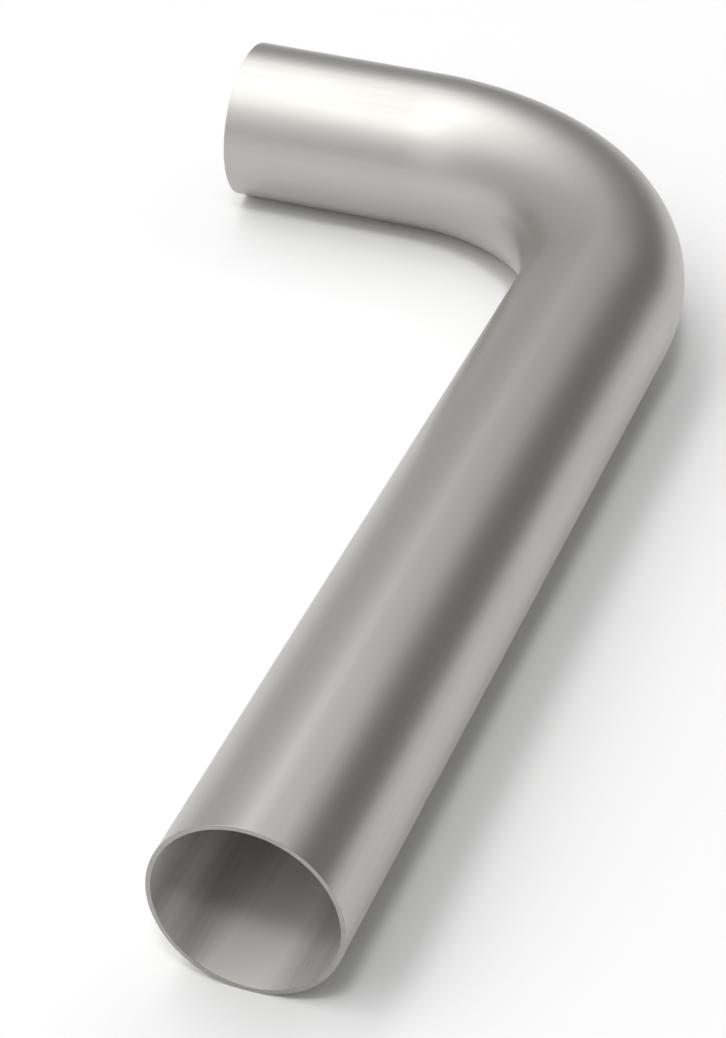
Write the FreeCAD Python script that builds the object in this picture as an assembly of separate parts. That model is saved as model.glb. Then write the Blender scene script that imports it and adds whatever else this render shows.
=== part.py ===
import FreeCAD, Part
import math
import os

# One piece of round steel tube, drawn through a quarter turn over a mandrel and open at both ends.
# The bend lies in the plane z = 0. The long leg's cut end is centred on the origin and the leg runs
# along +Y into the bend; the short leg leaves the bend towards -X. All sizes are in millimetres.

tube_diameter = 63.5     # outside, 2 1/2 inch
tube_wall = 1.65         # 16 gauge, as drawn, on both straights
bend_radius = 101.6      # to the tube's outside centre line, 4 inch
bend_angle = 90.0
long_straight = 355.6    # 14 inch
short_straight = 76.2    # 3 inch
wall_creep = 0.2         # the stretched outer wall loses this much halfway round, the inner one gains it
edge_break = 0.1         # rounding that deburring leaves on the four rims

tube_radius = tube_diameter / 2
bore_radius = tube_radius - tube_wall
half_turn = math.radians(bend_angle / 2)

along_long_leg = FreeCAD.Vector(0, 1, 0)
along_short_leg = FreeCAD.Vector(-math.sin(2 * half_turn), math.cos(2 * half_turn), 0)
towards_bend_centre = FreeCAD.Vector(-1, 0, 0)
bend_axis = FreeCAD.Vector(0, 0, 1)

# both legs are measured to the corner where their axes would cross
long_reach = long_straight + bend_radius * math.tan(half_turn)
short_reach = short_straight + bend_radius * math.tan(half_turn)
long_end = FreeCAD.Vector(0, 0, 0)
corner = long_end + along_long_leg * long_reach
short_end = corner + along_short_leg * short_reach


def bent_bar(radius, turn_radius):
    """A solid round bar from end to end of the tube: leg, turn and leg, all tangent to each other."""
    setback = turn_radius * math.tan(half_turn)
    turn_start = corner - along_long_leg * setback
    turn_finish = corner + along_short_leg * setback
    turn_centre = turn_start + towards_bend_centre * turn_radius
    disc = Part.Face(Part.Wire(Part.makeCircle(radius, turn_start, along_long_leg)))
    turn = disc.revolve(turn_centre, bend_axis, bend_angle)
    long_leg = Part.makeCylinder(radius, long_reach - setback, long_end, along_long_leg)
    short_leg = Part.makeCylinder(radius, short_reach - setback, turn_finish, along_short_leg)
    return long_leg.fuse([turn, short_leg])


def bore_turn_radius():
    """The bore turns a little tighter than the outside, so it runs wide of it in the bend.

    The offset is nothing where the bend starts and ends, and wall_creep halfway round: there the wall is
    thin on the outside of the bend, where the metal was stretched, and thick on the inside.
    """
    return bend_radius - wall_creep / (1 / math.cos(half_turn) - 1)


def rims(tube):
    """The four round edges of the two square-cut ends."""
    return [
        edge
        for edge in tube.Edges
        if isinstance(edge.Curve, Part.Circle)
        and any((edge.Curve.Center - end).Length < 0.001 for end in (long_end, short_end))
    ]


def bent_tube():
    tube = bent_bar(tube_radius, bend_radius).cut(bent_bar(bore_radius, bore_turn_radius()))
    return tube.Solids[0].makeFillet(edge_break, rims(tube))


os.makedirs("parts", exist_ok=True)
bent_tube().exportStep("parts/bent_tube.step")
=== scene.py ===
import bpy
import math
from mathutils import Matrix, Vector


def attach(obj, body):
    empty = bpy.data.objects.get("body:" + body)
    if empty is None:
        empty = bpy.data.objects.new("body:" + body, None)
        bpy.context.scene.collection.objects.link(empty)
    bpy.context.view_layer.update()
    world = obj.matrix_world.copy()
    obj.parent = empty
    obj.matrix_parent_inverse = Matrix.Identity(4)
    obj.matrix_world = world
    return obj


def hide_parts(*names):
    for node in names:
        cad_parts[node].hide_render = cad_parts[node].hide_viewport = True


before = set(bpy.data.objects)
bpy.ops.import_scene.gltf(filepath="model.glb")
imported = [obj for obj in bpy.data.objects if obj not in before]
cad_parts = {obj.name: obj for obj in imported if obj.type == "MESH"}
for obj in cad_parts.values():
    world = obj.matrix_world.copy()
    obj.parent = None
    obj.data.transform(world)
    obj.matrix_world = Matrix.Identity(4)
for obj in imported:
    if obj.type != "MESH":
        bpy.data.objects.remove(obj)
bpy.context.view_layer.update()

scene = bpy.context.scene
scene.view_settings.view_transform = "Standard"
mm = 0.001


def linear(hexColour):
    # sRGB hex to the linear values that the shader wants, with full alpha
    values = [int(hexColour[i:i + 2], 16) / 255 for i in (1, 3, 5)]
    return [v / 12.92 if v <= 0.04045 else ((v + 0.055) / 1.055) ** 2.4 for v in values] + [1.0]


def addNode(tree, kind, settings=None, links=None):
    # settings: {property or input: value}, links: {input: output socket}
    node = tree.nodes.new(kind)
    for name, value in (settings or {}).items():
        if isinstance(name, int) or name in node.inputs:
            node.inputs[name].default_value = value
        else:
            setattr(node, name, value)
    for name, socket in (links or {}).items():
        tree.links.new(socket, node.inputs[name])
    return node


def newMaterial(name):
    material = bpy.data.materials.new(name)
    material.use_nodes = True
    material.node_tree.nodes.clear()
    return material, material.node_tree


def placeFacing(thing, stand, aim, roll=0.0):
    # cameras and lamps both look along their own -Z
    stand, aim = Vector(stand), Vector(aim)
    turn = (aim - stand).to_track_quat("-Z", "Y").to_matrix().to_4x4()
    thing.matrix_world = Matrix.Translation(stand) @ turn @ Matrix.Rotation(math.radians(roll), 4, "Z")


camera = {
    "stand": (0.2695, -0.6582, 0.6423),
    "aim": (-0.0355, 0.2003, 0.0),     # a point in the plane of the bend
    "roll": 0.58,                      # degrees, the tube leans a little in the picture
    "lens": 112.2,                     # mm on a 36 mm long side
}


def makeCamera(settings):
    data = bpy.data.cameras.new("camera")
    data.lens = settings["lens"]
    data.sensor_width = 36.0
    data.clip_start = 0.01
    data.clip_end = 50.0
    eye = bpy.data.objects.new("camera", data)
    scene.collection.objects.link(eye)
    placeFacing(eye, settings["stand"], settings["aim"], settings["roll"])
    scene.camera = eye


makeCamera(camera)
print("camera placed")


tube = {
    "radius": 31.75 * mm,
    "boreRadius": 30.1 * mm,
    "longStraight": 355.6 * mm,
    "shortStraight": 76.2 * mm,
    "bendRadius": 101.6 * mm,       # centre line of the outside
    "boreBendRadius": 101.12 * mm,  # the bore turns tighter, which thins the wall on the bend's outside
    "rimRound": 0.1 * mm,           # left by deburring
    "rimSteps": (22.5, 45, 67.5, 90),   # degrees round that rounding
    "rimClear": 0.3 * mm,           # the first ring past the rim stands this far in
    "sides": 144,                   # facets round the tube
    "bendSteps": 96,
    "straightStep": 12 * mm,
}


def lineOf(turnRadius):
    # the centre line as straight, turn and straight; the corner where the two legs' axes cross stays put
    longReach = tube["longStraight"] + tube["bendRadius"]
    shortReach = tube["shortStraight"] + tube["bendRadius"]
    return longReach - turnRadius, turnRadius * math.pi / 2, shortReach - turnRadius


def stationAt(distance, turnRadius):
    # centre of the section, and the direction that points away from the bend's centre
    before, turn = lineOf(turnRadius)[:2]
    if distance <= before:
        return Vector((0, distance, 0)), Vector((1, 0, 0))
    angle = min((distance - before) / turnRadius, math.pi / 2)
    outward = Vector((math.cos(angle), math.sin(angle), 0))
    centre = Vector((-turnRadius, before, 0)) + outward * turnRadius
    return centre + Vector((-1, 0, 0)) * max(distance - before - turn, 0), outward


def spread(start, finish, count):
    return [start + (finish - start) * i / count for i in range(count + 1)]


def distancesAlong(turnRadius):
    # where the rings sit: wide apart on the straights, close together round the bend and at the rims
    before, turn, after = lineOf(turnRadius)
    small, clear = tube["rimRound"], tube["rimClear"]
    total = before + turn + after
    first = spread(clear, before, math.ceil(before / tube["straightStep"]))
    middle = spread(before, before + turn, tube["bendSteps"])
    last = spread(before + turn, total - clear, math.ceil(after / tube["straightStep"]))
    return [small] + first + middle[1:] + last[1:] + [total - small]


def ringList():
    # one closed trip: up the outside, over the short rim, back down the bore, over the long rim
    small, outside, inside = tube["rimRound"], tube["radius"], tube["boreRadius"]
    wide, tight = tube["bendRadius"], tube["boreBendRadius"]
    outerTotal, boreTotal = sum(lineOf(wide)), sum(lineOf(tight))
    angles = [math.radians(step) for step in tube["rimSteps"]]
    quarter = [(small * (1 - math.sin(a)), small * (1 - math.cos(a))) for a in angles]
    rings = [(d, outside, wide) for d in distancesAlong(wide)]
    rings += [(outerTotal - back, outside - drop, wide) for back, drop in quarter]
    rings += [(boreTotal - back, inside + drop, tight) for back, drop in reversed(quarter)]
    rings += [(d, inside, tight) for d in reversed(distancesAlong(tight))]
    rings += [(back, inside + drop, tight) for back, drop in quarter]
    rings += [(back, outside - drop, wide) for back, drop in reversed(quarter)]
    return rings


def makeTube():
    points, unbent, faces, finishes = [], [], [], []
    rings, sides = ringList(), tube["sides"]
    for distance, radius, turnRadius in rings:
        centre, outward = stationAt(distance, turnRadius)
        for k in range(sides):
            angle = 2 * math.pi * k / sides
            points.append(centre + radius * (outward * math.cos(angle) + Vector((0, 0, math.sin(angle)))))
            unbent += [radius * math.cos(angle), distance, radius * math.sin(angle)]
    for i in range(len(rings)):
        j = (i + 1) % len(rings)
        radii = {rings[i][1], rings[j][1]}
        finish = 0 if radii == {tube["radius"]} else 1 if radii == {tube["boreRadius"]} else 2
        for k in range(sides):
            m = (k + 1) % sides
            faces.append((i * sides + k, j * sides + k, j * sides + m, i * sides + m))
            finishes.append(finish)
    mesh = bpy.data.meshes.new("bentTube")
    mesh.from_pydata(points, [], faces)
    # where each point lay on the straight tube, so that the drawing marks follow the bend
    mesh.attributes.new("unbent", "FLOAT_VECTOR", "POINT").data.foreach_set("vector", unbent)
    mesh.polygons.foreach_set("material_index", finishes)
    mesh.shade_smooth()
    piece = bpy.data.objects.new("bentTube", mesh)
    scene.collection.objects.link(piece)
    return piece


bentTube = makeTube()
print("tube made,", len(bentTube.data.polygons), "faces")


# Stainless steel tube, drawn and mill finished: a satin grey whose highlights run out softly along
# the tube, with hardly seen marks lengthwise. They follow the bend, because the tube was drawn first.
drawnSteel = {
    "colour": "#BAB8B4",
    "wornAndPaintedBandColour": "#B6B4B0",       # where the marks lie close together
    "metallic": 1.0,
    "roughness": (0.33, 0.38),
    # real marks are about 0.1 mm wide, too fine to show
    "marks": {"width": 0.9 * mm, "length": 60 * mm, "detail": 3.0},
    "markDepth": 0.0015 * mm,
    # the pickling bath leaves the sheen a little uneven
    "streaks": {"width": 20 * mm, "length": 90 * mm, "detail": 2.0},
    "streakShare": 0.5,
}

# The same steel inside, as the mandrel and the pickling bath leave it: pale and dull, so that it takes the
# light that falls into the mouth.
# Its broad soft lengthwise bands, lighter and darker, are painted reflection, turned round the bore to
# where reflections fall.
boreSteel = {
    "colour": "#EFEEEA",
    # the darker bands in the bore take this colour: painted reflection, not wear
    "wornAndPaintedBandColour": "#B1AFAB",
    "metallic": 0.25,
    "roughness": (0.40, 0.52),
    "marks": {"width": 1.4 * mm, "length": 80 * mm, "detail": 3.0},
    "markDepth": 0.004 * mm,
    # broad bands painted in as reflection; the turn sets them round the bore
    "streaks": {"width": 16 * mm, "length": 200 * mm, "detail": 0.5, "shift": 1.7, "turn": 36},
    "streakShare": 0.85,
}

# The cut ends, sawn square and deburred: brighter, with marks straight across from the saw.
cutSteel = {
    "colour": "#ACAAA6",
    "wornAndPaintedBandColour": "#9C9A96",
    "metallic": 1.0,
    "roughness": (0.28, 0.36),
    "marks": {"width": 0.5 * mm, "length": 25 * mm, "detail": 3.0},
    "markDepth": 0.003 * mm,
    "streaks": {"width": 8 * mm, "length": 25 * mm, "detail": 2.0},
    "streakShare": 0.3,
}


noiseRange = (0.35, 0.65)    # nearly all of a noise's values lie in here


def stretchedNoise(tree, place, grain, alongTube):
    # the turn goes round the tube, the shift picks another part of the noise
    wide, long = 1 / grain["width"], 1 / grain["length"]
    shift, turn = grain.get("shift", 0.0), math.radians(grain.get("turn", 0.0))
    stretched = addNode(tree, "ShaderNodeMapping", {
        "Scale": (wide, long, wide) if alongTube else (long, wide, wide),
        "Rotation": (0.0, turn, 0.0), "Location": (shift, shift, 0.0)}, {"Vector": place.outputs["Vector"]})
    return addNode(tree, "ShaderNodeTexNoise", {"Scale": 1.0, "Detail": grain["detail"], "Roughness": 0.6},
                   {"Vector": stretched.outputs["Vector"]})


def makeSteel(name, settings, alongTube=True):
    material, tree = newMaterial(name)
    place = addNode(tree, "ShaderNodeAttribute", {"attribute_name": "unbent"})
    marks = stretchedNoise(tree, place, settings["marks"], alongTube)
    streaks = stretchedNoise(tree, place, settings["streaks"], alongTube)
    both = addNode(tree, "ShaderNodeMix", {"Factor": settings["streakShare"]},
                   {"A": marks.outputs["Fac"], "B": streaks.outputs["Fac"]})
    # marks and streaks together: wear on the outside and the rims, while in the bore its broad bands are
    # painted reflection
    wearAndPaintedBands = addNode(tree, "ShaderNodeMapRange", {"From Min": noiseRange[0], "From Max": noiseRange[1]},
                   {"Value": both.outputs["Result"]})
    smooth, dull = settings["roughness"]
    roughness = addNode(tree, "ShaderNodeMix", {"A": smooth, "B": dull}, {"Factor": wearAndPaintedBands.outputs["Result"]})
    colour = addNode(tree, "ShaderNodeMix", {
        "data_type": "RGBA", 6: linear(settings["colour"]), 7: linear(settings["wornAndPaintedBandColour"])},
        {0: wearAndPaintedBands.outputs["Result"]})
    relief = addNode(tree, "ShaderNodeBump", {"Strength": 1.0, "Distance": settings["markDepth"]},
                     {"Height": marks.outputs["Fac"]})
    shader = addNode(tree, "ShaderNodeBsdfPrincipled", {"Metallic": settings["metallic"]}, {
        "Base Color": colour.outputs[2],
        "Roughness": roughness.outputs["Result"],
        "Normal": relief.outputs["Normal"],
    })
    addNode(tree, "ShaderNodeOutputMaterial", {}, {"Surface": shader.outputs["BSDF"]})
    return material


bentTube.data.materials.append(makeSteel("drawnStainlessSteel", drawnSteel))
bentTube.data.materials.append(makeSteel("dullBoreSteel", boreSteel))
bentTube.data.materials.append(makeSteel("sawnRimSteel", cutSteel, alongTube=False))
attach(bentTube, "root")
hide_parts("bent_tube")
print("steel made")


# matt painted sheet, nearly white, so wide that its edge never shows
floor = {
    "colour": "#FBFBFB",
    "size": 60.0,
}


def makeFloor(settings):
    half, level = settings["size"] / 2, -tube["radius"]
    corners = ((-half, -half), (half, -half), (half, half), (-half, half))
    mesh = bpy.data.meshes.new("floor")
    mesh.from_pydata([(x, y, level) for x, y in corners], [], [(0, 1, 2, 3)])
    sheet = bpy.data.objects.new("floor", mesh)
    scene.collection.objects.link(sheet)
    material, tree = newMaterial("mattPaintedFloor")
    paint = addNode(tree, "ShaderNodeBsdfDiffuse", {"Color": linear(settings["colour"])})
    addNode(tree, "ShaderNodeOutputMaterial", {}, {"Surface": paint.outputs["BSDF"]})
    mesh.materials.append(material)


# directions: degrees round from the front (-Y) towards the right (+X), and degrees up
air = {
    "brightSide": 280,
    "from": -0.6,              # the darker side of the room ends here, as a cosine
    "to": 1.0,
    "brightColour": "#D8D8D8",
    "darkColour": "#7E7E7E",
}

# glow 1 is as bright as white paper in this light; all softboxes look at the middle of the tube
softboxes = {
    # the broad highlight on the short leg, and its softer surroundings that run on into the bend
    "leftStrip": {"round": 267, "up": 69, "wide": 58, "high": 12, "glow": 2.5},
    "leftPanel": {"round": 266, "up": 55, "wide": 50, "high": 28, "glow": 0.91},
    # the pale band along the long leg
    "backPanel": {"round": 160, "up": 49, "wide": 33, "high": 18, "glow": 1.15},
    # the side of the short leg below its highlight
    "frontPanel": {"round": 330, "up": 34, "wide": 28, "high": 38, "glow": 0.7},
    # small and strong, it shines into the long leg's mouth
    "mouthPanel": {"round": 12, "up": 64, "wide": 8, "high": 8, "glow": 28.0},
}
softboxDistance = 12.0
softboxFade = (0.5, 0.1)     # dark and full this far from its middle, in widths
middleOfTube = Vector((-0.06, 0.25, 0.0))


def towards(roundAngle, upAngle):
    roundAngle, upAngle = math.radians(roundAngle), math.radians(upAngle)
    level = math.cos(upAngle)
    return Vector((level * math.sin(roundAngle), -level * math.cos(roundAngle), math.sin(upAngle)))


def makeAir(settings):
    # pale air that goes softly from the bright side of the room to the darker one
    world = bpy.data.worlds.new("studioAir")
    scene.world = world
    world.use_nodes = True
    tree = world.node_tree
    tree.nodes.clear()
    look = addNode(tree, "ShaderNodeTexCoord")
    side = addNode(tree, "ShaderNodeVectorMath", {
        "operation": "DOT_PRODUCT", 1: towards(settings["brightSide"], 0)}, {0: look.outputs["Generated"]})
    share = addNode(tree, "ShaderNodeMapRange", {
        "interpolation_type": "SMOOTHSTEP", "From Min": settings["from"], "From Max": settings["to"]},
        {"Value": side.outputs["Value"]})
    colour = addNode(tree, "ShaderNodeMix", {
        "data_type": "RGBA", 6: linear(settings["darkColour"]), 7: linear(settings["brightColour"])},
        {0: share.outputs["Result"]})
    glow = addNode(tree, "ShaderNodeBackground", {}, {"Color": colour.outputs[2]})
    addNode(tree, "ShaderNodeOutputWorld", {}, {"Surface": glow.outputs["Background"]})


def makeSoftbox(name, settings):
    # an oval softbox that is brightest in the middle and fades out to its edge
    data = bpy.data.lights.new(name, "AREA")
    data.shape = "RECTANGLE"
    data.size = 2 * softboxDistance * math.tan(math.radians(settings["wide"]))
    data.size_y = 2 * softboxDistance * math.tan(math.radians(settings["high"]))
    data.energy = settings["glow"] * math.pi * data.size * data.size_y
    data.use_nodes = True
    tree = data.node_tree
    tree.nodes.clear()
    place = addNode(tree, "ShaderNodeNewGeometry")
    fromMiddle = addNode(tree, "ShaderNodeVectorMath", {"operation": "DISTANCE", 1: (0.5, 0.5, 0.0)},
                         {0: place.outputs["Parametric"]})
    fade = addNode(tree, "ShaderNodeMapRange", {
        "interpolation_type": "SMOOTHSTEP", "From Min": softboxFade[0], "From Max": softboxFade[1]},
        {"Value": fromMiddle.outputs["Value"]})
    emission = addNode(tree, "ShaderNodeEmission", {}, {"Strength": fade.outputs["Result"]})
    addNode(tree, "ShaderNodeOutputLight", {}, {"Surface": emission.outputs["Emission"]})
    lamp = bpy.data.objects.new(name, data)
    scene.collection.objects.link(lamp)
    stand = middleOfTube + towards(settings["round"], settings["up"]) * softboxDistance
    placeFacing(lamp, stand, middleOfTube)


makeFloor(floor)
makeAir(air)
for name, settings in softboxes.items():
    makeSoftbox(name, settings)
print("studio lit")
